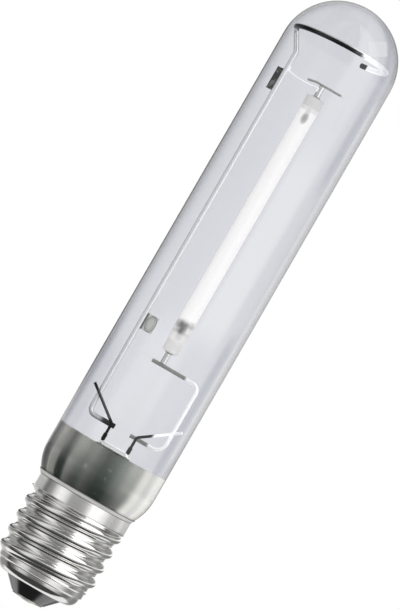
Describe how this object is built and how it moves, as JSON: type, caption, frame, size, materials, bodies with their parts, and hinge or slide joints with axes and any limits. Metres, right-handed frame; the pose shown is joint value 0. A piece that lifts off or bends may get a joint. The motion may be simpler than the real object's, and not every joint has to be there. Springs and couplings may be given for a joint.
{
  "type": "tubular light bulb",
  "caption": "Clear tubular high-pressure sodium lamp with a large metal screw cap, a slim ceramic arc tube on wire supports and a hoop in its dome.",
  "frame": {"origin": "tip of the centre contact, on the lamp's axis", "axes": "+Z along the lamp's axis from the cap to the tip of the bulb; -X towards the long frame wire that carries the getters; -Y is the side with the spread arms of the lead-in wires"},
  "size_m": [0.046, 0.046, 0.2569],
  "materials": {
    "nickel_cap": "bright nickel plate",
    "black_glass": "polished black glass",
    "contact_brass": "stamped",
    "solder": "solder, slightly dull",
    "cement": "matt basing cement",
    "bulb_glass": "clear and polished",
    "stem_glass": "clear and polished",
    "copper": "bare copper",
    "frame_steel": "bright nickel-plated wire",
    "lead_metal": "drawn wire",
    "niobium": "satin",
    "tungsten": "dark metal",
    "alumina": "translucent sintered alumina",
    "plug_ceramic": "sintered alumina",
    "seal_glass": "sealing glass",
    "amalgam": "metallic",
    "getter_steel": "satin plate",
    "getter_compound": "matt pressed powder"
  },
  "bodies": {
    "root": {"cap_shell": "nickel_cap", "cap_insulator": "black_glass", "centre_contact": "contact_brass", "centre_solder": "solder", "basing_cement": "cement", "outer_bulb": "bulb_glass", "stem": "stem_glass", "exhaust_tube": "stem_glass", "left_lead_in": "lead_metal", "right_lead_in": "lead_metal", "side_contact_wire": "copper", "centre_contact_wire": "copper", "frame_wire": "frame_steel", "lower_support_wire": "frame_steel", "upper_crossbar": "lead_metal", "flexible_strap": "frame_steel", "arc_tube": "alumina", "upper_end_plug": "plug_ceramic", "lower_end_plug": "plug_ceramic", "upper_seal_ring": "seal_glass", "lower_seal_ring": "seal_glass", "upper_niobium_tube": "niobium", "lower_niobium_tube": "niobium", "upper_electrode_rod": "tungsten", "lower_electrode_rod": "tungsten", "upper_electrode_coil": "tungsten", "lower_electrode_coil": "tungsten", "amalgam_pellet": "amalgam", "upper_getter_plate": "getter_steel", "lower_getter_plate": "getter_steel", "upper_getter_filling": "getter_compound", "lower_getter_filling": "getter_compound"}
  },
  "joints": []
}
